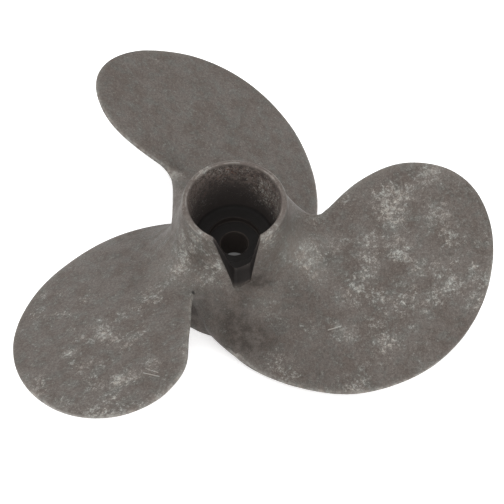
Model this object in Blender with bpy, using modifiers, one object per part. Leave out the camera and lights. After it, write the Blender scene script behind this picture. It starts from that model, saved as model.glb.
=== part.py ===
"""Three-bladed boat propeller, cast in one piece.

The propeller turns about the Z axis and rests on the forward face of its hub, with
the mouth of the hub's cup on top.  The slot in the hub's wall looks towards -Y.  The
origin lies on the axis at the height of the centre of mass, and the functions below
measure heights from the forward face.
"""

import math

import bmesh
import bpy
from mathutils import Vector

MM = 0.001

# Height of the hub's forward face under the centre of mass.
FORWARD_Z = -23.0 * MM

# Hub: a slender bell, widest at its forward end.
HUB_LENGTH = 58.0 * MM
MOUTH_RADIUS = 23.0 * MM
MOUTH_CHAMFER = 0.9 * MM
COLLAR_RADIUS = 24.2 * MM
COLLAR_DEPTH = 8.0 * MM
WAIST_RADIUS = 26.2 * MM
WAIST_DEPTH = 17.0 * MM
FLANK_RADIUS = 30.3 * MM
FLANK_DEPTH = 31.0 * MM
SKIRT_RADIUS = 34.6 * MM
SKIRT_DEPTH = 45.0 * MM
FORWARD_RADIUS = 37.6 * MM
FORWARD_CHAMFER = 0.8 * MM
HUB_STEPS = 72

# Cup in the aft end, with the shaft hole in its floor.
CUP_MOUTH_RADIUS = 20.3 * MM
CUP_FLOOR_RADIUS = 18.4 * MM
CUP_DEPTH = 29.6 * MM
COUNTERBORE_RADIUS = 12.2 * MM
COUNTERBORE_DEPTH = 3.8 * MM
SHAFT_HOLE_RADIUS = 6.5 * MM
RECESS_RADIUS = 13.5 * MM
RECESS_DEPTH = 6.1 * MM
HOLE_STEPS = 48

# Slot through the cup's wall: X of its two cheeks at the mouth, and X and depth of
# its two feet.
SLOT_LEFT_TOP = -8.9 * MM
SLOT_RIGHT_TOP = 11.0 * MM
SLOT_LEFT_FOOT = 0.0 * MM
SLOT_LEFT_DEPTH = 25.8 * MM
SLOT_RIGHT_FOOT = 7.2 * MM
SLOT_RIGHT_DEPTH = 22.2 * MM
SLOT_LEFT_LIP = 4.5 * MM
SLOT_RIGHT_LIP = 1.2 * MM
SLOT_FOOT_ROUND = 1.7 * MM
SLOT_REACH = 46.0 * MM

# Blades: a twisted plate of nearly constant slope, with a little aft rake.
TIP_RADIUS = 115.0 * MM
BLADE_SLOPE = 0.433
BLADE_RAKE = 0.111
BLADE_DATUM_RADIUS = 40.0 * MM
BLADE_DATUM_ANGLE = 105.0
BLADE_DATUM_DEPTH = 28.2 * MM
TIP_FULLNESS = 4.0
TIP_START = 20.0 * MM
# Radius, half of the chord before the tip rounding, and the chord's middle angle.
STATIONS = (
    (40.0, 39.2, 75.4),
    (52.0, 46.0, 85.9),
    (64.0, 51.7, 93.7),
    (76.0, 56.4, 98.9),
    (88.0, 60.2, 102.1),
    (100.0, 63.6, 105.0),
    (109.0, 67.7, 106.6),
)
ROOT_THICKNESS = 7.0 * MM
TIP_THICKNESS = 2.8 * MM
EDGE_THICKNESS = 2.2 * MM
# Fillets to the hub under a blade's forward edge, middle and aft edge.
FORWARD_FILLETS = (5.0, 9.0, 16.0)
FORWARD_WEB = 5.0
# Each blade: angle about the axis and lift.
BLADES = ((0.9, -1.8), (-120.9, 0.6), (120.0, 1.1))
# Each blade's fillets over its forward edge, middle and aft edge.
AFT_FILLETS = ((5.0, 13.0, 18.0), (26.0, 16.0, 18.0), (5.0, 13.0, 9.0))
# The web between each blade's aft edge and the hub: its reach aft and outwards.
AFT_WEBS = ((26.0, 26.0), (30.0, 11.0), (7.0, 7.0))
# How far each blade's forward edge and aft edge are trimmed at some radii (degrees).
TRIM_RADII = (40.0, 52.0, 64.0, 79.0, 95.0)
FORWARD_TRIMS = ((0.3, 0.0, -0.5, -0.2, 0.4), (1.6, -0.2, -0.2, -0.1, 0.0), (7.2, 2.6, 0.2, 0.2, 0.2))
AFT_TRIMS = ((0.4, 0.6, 0.5, 0.3, -0.1), (0.6, -0.9, -0.6, -0.1, -0.1), (8.2, 6.8, 5.7, 2.2, 0.1))
ROOT_SINK = 0.12 * MM
ROOT_BURIED = 1.6 * MM
ROOT_ROWS = 7
SPAN_ROWS = 15
TIP_SHARE = 0.9995
EDGE_SEGMENTS = 6
FACE_SEGMENTS = 7

# Dull, oxidised cast aluminium.
METAL_COLOUR = (0.145, 0.131, 0.120, 1.0)
METAL_ROUGHNESS = 0.62
METAL_METALLIC = 0.85
SMOOTH_ANGLE = 38.0


def clear_objects():
    """Remove every object of the start-up file."""
    for thing in list(bpy.data.objects):
        bpy.data.objects.remove(thing, do_unlink=True)


def make_collection(name):
    """Return a new collection linked to the scene."""
    group = bpy.data.collections.new(name)
    bpy.context.scene.collection.children.link(group)
    return group


def cast_metal():
    """Return the material of the casting."""
    material = bpy.data.materials.new("cast_metal")
    material.use_nodes = True
    shader = material.node_tree.nodes["Principled BSDF"]
    shader.inputs["Base Color"].default_value = METAL_COLOUR
    shader.inputs["Roughness"].default_value = METAL_ROUGHNESS
    shader.inputs["Metallic"].default_value = METAL_METALLIC
    return material


def turned(name, profile, steps, group):
    """Return a closed solid turned about the propeller's axis.

    The profile is a list of (radius, height) from the top of the axis, down the
    outer side, to the bottom of the axis.
    """
    mesh = bpy.data.meshes.new(name)
    points = [(radius, 0.0, height) for radius, height in profile]
    edges = [(index, index + 1) for index in range(len(points) - 1)]
    mesh.from_pydata(points, edges, [])
    thing = bpy.data.objects.new(name, mesh)
    group.objects.link(thing)
    screw = thing.modifiers.new("turn", "SCREW")
    screw.axis = "Z"
    screw.angle = math.tau
    screw.steps = steps
    screw.render_steps = steps
    screw.use_merge_vertices = True
    screw.merge_threshold = 0.00001
    screw.use_normal_calculate = True
    baked(thing)
    thing.location = (0.0, 0.0, FORWARD_Z)
    return thing


def baked(thing):
    """Replace the object's mesh with its finished shape and drop its modifiers."""
    graph = bpy.context.evaluated_depsgraph_get()
    finished = bpy.data.meshes.new_from_object(thing.evaluated_get(graph))
    thing.modifiers.clear()
    thing.data = finished
    shape = bmesh.new()
    shape.from_mesh(finished)
    bmesh.ops.remove_doubles(shape, verts=shape.verts, dist=0.00001)
    bmesh.ops.recalc_face_normals(shape, faces=shape.faces)
    shape.to_mesh(finished)
    shape.free()


def joined(thing, other, operation):
    """Apply a Boolean with another object and remove that object."""
    step = thing.modifiers.new(operation.lower(), "BOOLEAN")
    step.operation = operation
    step.solver = "EXACT"
    step.object = other
    bpy.context.view_layer.update()
    baked(thing)
    bpy.data.objects.remove(other, do_unlink=True)


def hub_outline():
    """Return the hub's turned profile, from the top of the axis down."""
    aft = HUB_LENGTH
    return [
        (0.0, aft),
        (MOUTH_RADIUS - MOUTH_CHAMFER, aft),
        (MOUTH_RADIUS, aft - MOUTH_CHAMFER),
        (COLLAR_RADIUS, aft - COLLAR_DEPTH),
        (WAIST_RADIUS, aft - WAIST_DEPTH),
        (0.5 * (WAIST_RADIUS + FLANK_RADIUS) - 0.2 * MM, aft - 0.5 * (WAIST_DEPTH + FLANK_DEPTH)),
        (FLANK_RADIUS, aft - FLANK_DEPTH),
        (SKIRT_RADIUS, aft - SKIRT_DEPTH),
        (FORWARD_RADIUS, FORWARD_CHAMFER),
        (FORWARD_RADIUS - FORWARD_CHAMFER, 0.0),
        (0.0, 0.0),
    ]


def hub_radius(height):
    """Return the radius of the hub's outer surface at a height."""
    profile = hub_outline()[2:9]
    if height >= profile[0][1]:
        return profile[0][0]
    for upper, lower in zip(profile, profile[1:]):
        if height >= lower[1]:
            share = (upper[1] - height) / (upper[1] - lower[1])
            return upper[0] + share * (lower[0] - upper[0])
    return profile[-1][0]


def natural_cubic(knots, values, at):
    """Return a natural cubic spline through the knots, at one place."""
    count = len(knots)
    steps = [knots[i + 1] - knots[i] for i in range(count - 1)]
    rises = [(values[i + 1] - values[i]) / steps[i] for i in range(count - 1)]
    bends = [0.0] * count
    diagonal = [1.0] * count
    right = [0.0] * count
    for i in range(1, count - 1):
        share = steps[i - 1] / diagonal[i - 1] if i > 1 else 0.0
        diagonal[i] = 2.0 * (steps[i - 1] + steps[i]) - share * steps[i - 1]
        right[i] = 6.0 * (rises[i] - rises[i - 1]) - share * right[i - 1]
    for i in range(count - 2, 0, -1):
        bends[i] = (right[i] - steps[i] * bends[i + 1]) / diagonal[i]
    if at <= knots[0]:
        slope = rises[0] - steps[0] * bends[1] / 6.0
        return values[0] + slope * (at - knots[0])
    if at >= knots[-1]:
        slope = rises[-1] + steps[-1] * bends[-2] / 6.0
        return values[-1] + slope * (at - knots[-1])
    i = max(k for k in range(count - 1) if knots[k] <= at)
    left = at - knots[i]
    rest = knots[i + 1] - at
    cubes = (bends[i] * rest**3 + bends[i + 1] * left**3) / (6.0 * steps[i])
    first = (values[i] / steps[i] - bends[i] * steps[i] / 6.0) * rest
    last = (values[i + 1] / steps[i] - bends[i + 1] * steps[i] / 6.0) * left
    return cubes + first + last


def rounded(before, corner, after, radius, steps):
    """Return the points of the arc that rounds one corner of an outline."""
    corner = Vector(corner)
    first = (Vector(before) - corner).normalized()
    last = (Vector(after) - corner).normalized()
    half = 0.5 * first.angle(last)
    centre = corner + (first + last).normalized() * radius / math.sin(half)
    start = corner + first * radius / math.tan(half) - centre
    end = corner + last * radius / math.tan(half) - centre
    points = []
    for step in range(steps + 1):
        spoke = start.lerp(end, step / steps).normalized() * radius
        points.append(tuple(centre + spoke))
    return points


def blade_edges(radius, blade):
    """Return the angles of the blade's forward and aft edges at a radius, in radians."""
    at = max(radius, BLADE_DATUM_RADIUS)
    knots = [station[0] * MM for station in STATIONS]
    half = natural_cubic(knots, [station[1] * MM for station in STATIONS], at)
    middle = natural_cubic(knots, [station[2] for station in STATIONS], at)
    share = (at - TIP_START) / (TIP_RADIUS - TIP_START)
    half *= math.sqrt(max(1.0 - share**TIP_FULLNESS, 0.0))
    places = [place * MM for place in TRIM_RADII]
    first = natural_cubic(places, FORWARD_TRIMS[blade], min(at, places[-1]))
    last = natural_cubic(places, AFT_TRIMS[blade], min(at, places[-1]))
    spread = half / at
    return math.radians(middle + first) - spread, math.radians(middle - last) + spread


def blade_height(radius, angle, lift):
    """Return the height of the blade's middle surface."""
    swing = angle - math.radians(BLADE_DATUM_ANGLE)
    rise = BLADE_RAKE * (radius - BLADE_DATUM_RADIUS) + BLADE_SLOPE * radius * swing
    return HUB_LENGTH - BLADE_DATUM_DEPTH + rise + lift


def half_thickness(radius, across):
    """Return half of the plate's thickness at a share across the chord."""
    share = min(max((radius - BLADE_DATUM_RADIUS) / (TIP_RADIUS - BLADE_DATUM_RADIUS), 0.0), 1.0)
    middle = 0.5 * (ROOT_THICKNESS + (TIP_THICKNESS - ROOT_THICKNESS) * share**0.8)
    edge = 0.5 * EDGE_THICKNESS
    return edge + (middle - edge) * (1.0 - across**2) ** 0.8


def section_plan():
    """Return each point of a section: its share across, side and outward direction."""
    plan = []
    for side in (-1.0, 1.0):
        for step in range(EDGE_SEGMENTS + 1):
            sweep = math.radians(-90.0 + 180.0 * step / EDGE_SEGMENTS + (180.0 if side < 0 else 0.0))
            plan.append((side, math.cos(sweep), math.sin(sweep)))
        for step in range(1, FACE_SEGMENTS):
            share = math.sin(math.pi * (step / FACE_SEGMENTS - 0.5))
            plan.append((share if side < 0 else -share, 0.0, -1.0 if side < 0 else 1.0))
    return plan


def plate_point(radius, spot, blade, grown):
    """Return a point on the plate's skin, pushed outwards by a distance."""
    across, out_along, out_up = spot
    turn, lift = BLADES[blade]
    low, high = blade_edges(radius, blade)
    around = min(radius, TIP_RADIUS)
    chord = 0.5 * (high - low) * around
    middle = 0.5 * (high + low)
    edge = 0.5 * EDGE_THICKNESS
    tip_gap = TIP_RADIUS - radius
    rounding = 1.0
    if tip_gap < edge:
        rounding = math.sqrt(max(edge**2 - (edge - tip_gap) ** 2, 0.0)) / edge
    inset = min(edge * rounding, 0.9 * chord)
    centre = across * (chord - inset)
    thick = half_thickness(radius, across) * rounding
    along = centre + out_along * (inset + grown)
    up = out_up * (thick + grown)
    slope = math.atan(BLADE_SLOPE)
    at = middle + along / around
    height = blade_height(radius, at, lift * MM) + up * math.cos(slope)
    angle = at - up * math.sin(slope) / around + math.radians(turn)
    return Vector((radius * math.cos(angle), radius * math.sin(angle), height))


def fillet_reaches(spot, blade):
    """Return how far the fillet reaches along the hub and outwards from it."""
    first, middle, last = AFT_FILLETS[blade] if spot[2] > 0 else FORWARD_FILLETS
    face = middle + (middle - first if spot[0] < 0 else last - middle) * spot[0]
    webs = AFT_WEBS[blade] if spot[0] > 0 else (FORWARD_WEB, FORWARD_WEB)
    return [(web * spot[1] ** 2 + face * spot[2] ** 2) * MM for web in webs]


def root_point(spot, blade, turned_by):
    """Return a point of the fillet, 90 degrees at the plate and 0 at the hub."""
    along, outwards = fillet_reaches(spot, blade)
    gap = outwards * (1.0 - math.cos(turned_by)) - ROOT_SINK * math.cos(turned_by)
    grown = along * (1.0 - math.sin(turned_by))
    radius = BLADE_DATUM_RADIUS
    for _ in range(40):
        point = plate_point(radius, spot, blade, grown)
        radius = 0.5 * (radius + hub_radius(point.z) + gap)
    return plate_point(radius, spot, blade, grown), radius


def blade_rows(blade):
    """Return the rows of points from inside the hub, over the fillet, to the tip."""
    plan = section_plan()
    rows = []
    buried = []
    for spot in plan:
        point, radius = root_point(spot, blade, 0.0)
        inner = radius - ROOT_BURIED
        shrink = inner / radius
        buried.append(Vector((point.x * shrink, point.y * shrink, point.z)))
    rows.append(buried)
    for step in range(ROOT_ROWS + 1):
        turned_by = 0.5 * math.pi * step / ROOT_ROWS
        rows.append([root_point(spot, blade, turned_by)[0] for spot in plan])
    starts = [root_point(spot, blade, 0.5 * math.pi)[1] for spot in plan]
    for step in range(1, SPAN_ROWS + 1):
        share = math.sin(0.5 * math.pi * step / SPAN_ROWS)
        if step == SPAN_ROWS:
            share = TIP_SHARE
        row = []
        for spot, start in zip(plan, starts):
            row.append(plate_point(start + (TIP_RADIUS - start) * share, spot, blade, 0.0))
        rows.append(row)
    return rows


def make_blade(name, blade, group):
    """Return one blade, lofted through its sections from inside the hub to the tip."""
    shape = bmesh.new()
    loops = []
    for row in blade_rows(blade):
        loops.append([shape.verts.new(point) for point in row])
    for inner, outer in zip(loops, loops[1:]):
        count = len(inner)
        for i in range(count):
            k = (i + 1) % count
            shape.faces.new((inner[i], inner[k], outer[k], outer[i]))
    shape.faces.new(list(reversed(loops[0])))
    shape.faces.new(loops[-1])
    bmesh.ops.recalc_face_normals(shape, faces=shape.faces)
    mesh = bpy.data.meshes.new(name)
    shape.to_mesh(mesh)
    shape.free()
    thing = bpy.data.objects.new(name, mesh)
    thing.location = (0.0, 0.0, FORWARD_Z)
    group.objects.link(thing)
    return thing


def cup_cutter(group):
    """Return the solid that the cup, its counterbore and the shaft hole leave out."""
    floor = HUB_LENGTH - CUP_DEPTH
    draft = (CUP_MOUTH_RADIUS - CUP_FLOOR_RADIUS) / CUP_DEPTH
    profile = [
        (0.0, HUB_LENGTH + 5.0 * MM),
        (CUP_MOUTH_RADIUS + draft * 5.0 * MM, HUB_LENGTH + 5.0 * MM),
        (CUP_FLOOR_RADIUS, floor),
        (COUNTERBORE_RADIUS, floor),
        (COUNTERBORE_RADIUS, floor - COUNTERBORE_DEPTH),
        (SHAFT_HOLE_RADIUS, floor - COUNTERBORE_DEPTH),
        (SHAFT_HOLE_RADIUS, RECESS_DEPTH),
        (RECESS_RADIUS, RECESS_DEPTH),
        (RECESS_RADIUS, -5.0 * MM),
        (0.0, -5.0 * MM),
    ]
    return turned("cup_cutter", profile, HOLE_STEPS, group)


def slot_cutter(group):
    """Return the wedge that the slot leaves out of the cup's wall."""
    top = HUB_LENGTH
    over = 6.0 * MM
    aside = 8.0 * MM
    left_foot = (SLOT_LEFT_FOOT, top - SLOT_LEFT_DEPTH)
    right_foot = (SLOT_RIGHT_FOOT, top - SLOT_RIGHT_DEPTH)
    right_top = (SLOT_RIGHT_TOP, top)
    left_top = (SLOT_LEFT_TOP, top)
    right_side = (SLOT_RIGHT_TOP + aside, top + 0.06 * aside)
    left_side = (SLOT_LEFT_TOP - aside, top + 0.06 * aside)
    outline = [left_foot]
    outline += rounded(left_foot, right_foot, right_top, SLOT_FOOT_ROUND, 3)
    outline += rounded(right_foot, right_top, right_side, SLOT_RIGHT_LIP, 2)
    outline += [right_side, (right_side[0], top + over), (left_side[0], top + over), left_side]
    outline += rounded(left_side, left_top, left_foot, SLOT_LEFT_LIP, 5)
    curve = bpy.data.curves.new("slot_cutter", "CURVE")
    curve.dimensions = "2D"
    curve.fill_mode = "BOTH"
    curve.extrude = 0.5 * SLOT_REACH
    line = curve.splines.new("POLY")
    line.points.add(len(outline) - 1)
    for point, (across, height) in zip(line.points, outline):
        point.co = (across, height, 0.0, 1.0)
    line.use_cyclic_u = True
    flat = bpy.data.objects.new("slot_outline", curve)
    group.objects.link(flat)
    bpy.context.view_layer.update()
    graph = bpy.context.evaluated_depsgraph_get()
    mesh = bpy.data.meshes.new_from_object(flat.evaluated_get(graph))
    bpy.data.objects.remove(flat, do_unlink=True)
    shape = bmesh.new()
    shape.from_mesh(mesh)
    bmesh.ops.remove_doubles(shape, verts=shape.verts, dist=0.00001)
    bmesh.ops.recalc_face_normals(shape, faces=shape.faces)
    shape.to_mesh(mesh)
    shape.free()
    thing = bpy.data.objects.new("slot_cutter", mesh)
    thing.rotation_euler = (0.5 * math.pi, 0.0, 0.0)
    thing.location = (0.0, -0.5 * SLOT_REACH, FORWARD_Z)
    group.objects.link(thing)
    return thing


def below_cutter(group):
    """Return the block that keeps everything above the forward face."""
    shape = bmesh.new()
    bmesh.ops.create_cube(shape, size=1.0)
    bmesh.ops.scale(shape, vec=(0.4, 0.4, 0.04), verts=shape.verts)
    bmesh.ops.translate(shape, vec=(0.0, 0.0, -0.02), verts=shape.verts)
    mesh = bpy.data.meshes.new("below_cutter")
    shape.to_mesh(mesh)
    shape.free()
    thing = bpy.data.objects.new("below_cutter", mesh)
    thing.location = (0.0, 0.0, FORWARD_Z)
    group.objects.link(thing)
    return thing


def hide_tool(thing):
    """Keep a cutter out of renders."""
    thing.hide_render = True
    thing.display_type = "WIRE"


def build_propeller():
    """Build the casting as one closed solid."""
    parts = make_collection("boat_propeller")
    tools = make_collection("cutters")
    propeller = turned("propeller", hub_outline(), HUB_STEPS, parts)
    for blade in range(len(BLADES)):
        joined(propeller, make_blade(f"blade_{blade + 1}", blade, tools), "UNION")
    for make_tool in (below_cutter, cup_cutter, slot_cutter):
        tool = make_tool(tools)
        hide_tool(tool)
        joined(propeller, tool, "DIFFERENCE")
    propeller.data.materials.clear()
    propeller.data.materials.append(cast_metal())
    propeller.data.shade_smooth()
    propeller.data.set_sharp_from_angle(angle=math.radians(SMOOTH_ANGLE))
    return propeller


clear_objects()
build_propeller()
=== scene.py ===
"""A worn boat propeller, cast in aluminium in one piece, on a pale studio floor.

The casting is a bell-shaped hub with a slotted cup in its aft end and three wide
blades that flow into it. It is laid out as an add-on, with one operator for the
casting and one for the studio. The tables are in millimetres and degrees, unless
they say otherwise.
"""

import functools
import math

import bmesh
import bpy
import numpy as np
from bpy.props import FloatProperty, FloatVectorProperty, PointerProperty, StringProperty
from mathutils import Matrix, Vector, noise


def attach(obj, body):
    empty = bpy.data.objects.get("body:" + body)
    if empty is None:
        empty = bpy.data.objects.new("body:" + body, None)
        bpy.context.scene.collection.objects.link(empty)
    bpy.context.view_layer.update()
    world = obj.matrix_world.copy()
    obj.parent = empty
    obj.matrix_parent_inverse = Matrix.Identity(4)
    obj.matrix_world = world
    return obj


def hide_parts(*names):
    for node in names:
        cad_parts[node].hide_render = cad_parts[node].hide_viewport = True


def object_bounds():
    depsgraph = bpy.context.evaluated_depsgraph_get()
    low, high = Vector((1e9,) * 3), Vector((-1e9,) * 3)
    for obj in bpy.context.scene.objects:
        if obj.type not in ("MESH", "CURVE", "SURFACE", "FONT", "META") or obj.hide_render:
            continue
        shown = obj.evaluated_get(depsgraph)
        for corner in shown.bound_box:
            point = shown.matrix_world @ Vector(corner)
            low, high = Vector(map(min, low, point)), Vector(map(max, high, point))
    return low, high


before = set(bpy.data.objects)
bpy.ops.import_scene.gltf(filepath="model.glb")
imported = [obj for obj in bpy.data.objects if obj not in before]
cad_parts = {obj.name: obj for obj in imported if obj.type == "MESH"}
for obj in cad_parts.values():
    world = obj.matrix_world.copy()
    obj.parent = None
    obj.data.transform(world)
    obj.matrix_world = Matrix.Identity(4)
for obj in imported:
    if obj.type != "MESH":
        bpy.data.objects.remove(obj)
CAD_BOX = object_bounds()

bl_info = {
    "name": "Boat Propeller",
    "version": (1, 0, 0),
    "blender": (4, 5, 0),
    "location": "View3D > Sidebar > Propeller",
    "description": "Builds a worn, cast boat propeller and the studio it lies in",
    "category": "Add Mesh",
}

MM = 0.001
BLACK = (0.0, 0.0, 0.0, 1.0)
WHITE = (1.0, 1.0, 1.0, 1.0)
# Settings that many nodes share: a ramp with eased ends, a mix of two colours, a product,
# and a product with a sum.
EASE = {"interpolation_type": "SMOOTHSTEP"}
TINT = {"output": 2, "data_type": "RGBA"}
TIMES = {"operation": "MULTIPLY"}
TIMES_PLUS = {"operation": "MULTIPLY_ADD"}

# Hub: radius and depth from the mouth of the cup.
HUB_FLANK = (
    (23.0, 0.9), (23.3, 3.0), (24.2, 8.0), (26.2, 17.0),
    (28.05, 24.0), (30.3, 31.0), (34.6, 45.0), (37.6, 57.2),
)
# The flank as a curve for the shader, in metres: radius = (a * depth + b) * depth + c,
# down to a depth of 33 mm.
FLANK_CURVE = (3.5, 0.13, 0.023)
FLANK_CURVE_END = 0.033
# Mesh of the hub: first depth and spacing of its rings, and steps round the hub, round the
# cup, down the cup's wall and round a corner.
FLANK_START = 2.0
FLANK_STEP = 1.1
HUB_AROUND = 240
CUP_AROUND = 160
CUP_WALL_STEPS = 24
ARC_STEPS = 5
FORWARD_ROUND = 0.8
CUP_LIP_ROUND = 1.0
CUP_FOOT_ROUND = 2.0
CUP_FLOOR_RADIUS = 18.4
CUP_DEPTH = 29.6
COUNTERBORE_RADIUS = 12.2
COUNTERBORE_DEPTH = 3.8
RECESS_RADIUS = 13.5
RECESS_DEPTH = 6.1
BEVEL = 0.4
SHAFT_BEVEL = 0.3
COUNTERBORE_COVE = 0.5
# The cutters stand out of the casting by so much, and the cup's widens from its rim upwards.
CLEAR = 5.0
FUNNEL = (0.3, 2.0)
# A block cuts off what hangs below the forward face, in metres.
BLOCK_SIZE = 0.4

# Slot: X of its cheeks at the mouth, and X and depth of its two feet.
SLOT_TOP = (-8.9, 11.0)
SLOT_FOOT = (0.0, 7.2)
SLOT_DEPTH = (25.8, 22.2)
SLOT_FOOT_ROUND = (1.3, 1.7)
SLOT_LIP_ROUND = (4.5, 1.2)
# The slot's cutter: how far it goes aside and above the lips, and Y of its two ends.
SLOT_ASIDE = 8.0
SLOT_ABOVE = (0.5, 6.0)
SLOT_ENDS = (-8.0, -46.0)

# Blade plate: slope, rake and the radius, angle and depth they are measured from.
SLOPE = 0.433
RAKE = 0.111
DATUM_RADIUS = 40.0
DATUM_ANGLE = 105.0
DATUM_DEPTH = 28.2
# The chord is rounded off towards the tip from this radius, by this power.
TIP_START = 20.0
TIP_POWER = 4
# How the plate thins to the tip and to its edges, and the edge's share of half the chord.
TAPER_POWER = 0.8
CROWN_POWER = 0.8
EDGE_SHARE = 0.9
# Radius, half of the chord before the tip rounding, and the chord's middle angle.
STATIONS = (
    (40.0, 39.2, 75.4), (52.0, 46.0, 85.9), (64.0, 51.7, 93.7), (76.0, 56.4, 98.9),
    (88.0, 60.2, 102.1), (100.0, 63.6, 105.0), (109.0, 67.7, 106.6),
)
# Fillets to the hub under a blade's forward edge, middle and aft edge.
FORWARD_FILLETS = (5.0, 9.0, 16.0)
FORWARD_WEB = 5.0
# Each blade: angle about the axis and lift.
BLADES = ((0.9, -1.8), (-120.9, 0.6), (120.0, 1.1))
# Each blade's fillets over its forward edge, middle and aft edge.
AFT_FILLETS = ((5.0, 13.0, 18.0), (26.0, 16.0, 18.0), (5.0, 13.0, 9.0))
# The web between each blade's aft edge and the hub: its reach aft and outwards.
AFT_WEBS = ((26.0, 26.0), (30.0, 11.0), (7.0, 7.0))
# How far each blade's forward edge and aft edge are trimmed at some radii.
TRIM_RADII = (40.0, 52.0, 64.0, 79.0, 95.0)
FORWARD_TRIMS = ((0.3, 0.0, -0.5, -0.2, 0.4), (1.6, -0.2, -0.2, -0.1, 0.0), (7.2, 2.6, 0.2, 0.2, 0.2))
AFT_TRIMS = ((0.4, 0.6, 0.5, 0.3, -0.1), (0.6, -0.9, -0.6, -0.1, -0.1), (8.2, 6.8, 5.7, 2.2, 0.1))
# Mesh of a blade: how far its fillet dips and its root lies in the hub, the rounds of the
# search for the hub, rows over fillet and span, and points round an edge and along a face.
ROOT_SINK = 0.12
ROOT_BURIED = 1.6
ROOT_ROUNDS = 40
ROOT_ROWS = 16
SPAN_ROWS = 64
EDGE_STEPS = 10
FACE_STEPS = 60
# Points closer than this are merged, on a blade, on a turned shape and after the Booleans,
# and shorter edges than a sliver are dissolved, in metres.
BLADE_WELD = 0.02 * MM
TURNED_WELD = 0.01 * MM
JOINED_WELD = 0.12 * MM
SLIVER = 0.02 * MM
# Unevenness of the cast skin: width and share of its swells and of its ripples.
SWELLS = (26.0, 0.8)
RIPPLES = (5.0, 0.35)
RIPPLE_SHIFT = Vector((7, 3, 1))
SHARP_ANGLE = 40.0

# Points this close to a blade's plate in depth, and this far out of the hub, belong to it.
PLATE_REACH = 6.0
HUB_CLEAR = 1.0
# Within this reach of the hub, a blade's edge counts as farther off by this share.
ROOT_FADE = (14.0, 0.4)
NO_EDGE = 99.0
# Turning left two fine rings on the rim, this far in from its outer side.
RIM_RINGS = (0.35, 1.9)
# Knocks and scoops: where from the mouth's centre, how far round it, and the push.
KNOCKS = (((11.5, -27.5, -26.5), 5.5, (-0.1, 0.25, 0.0)),)
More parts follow.
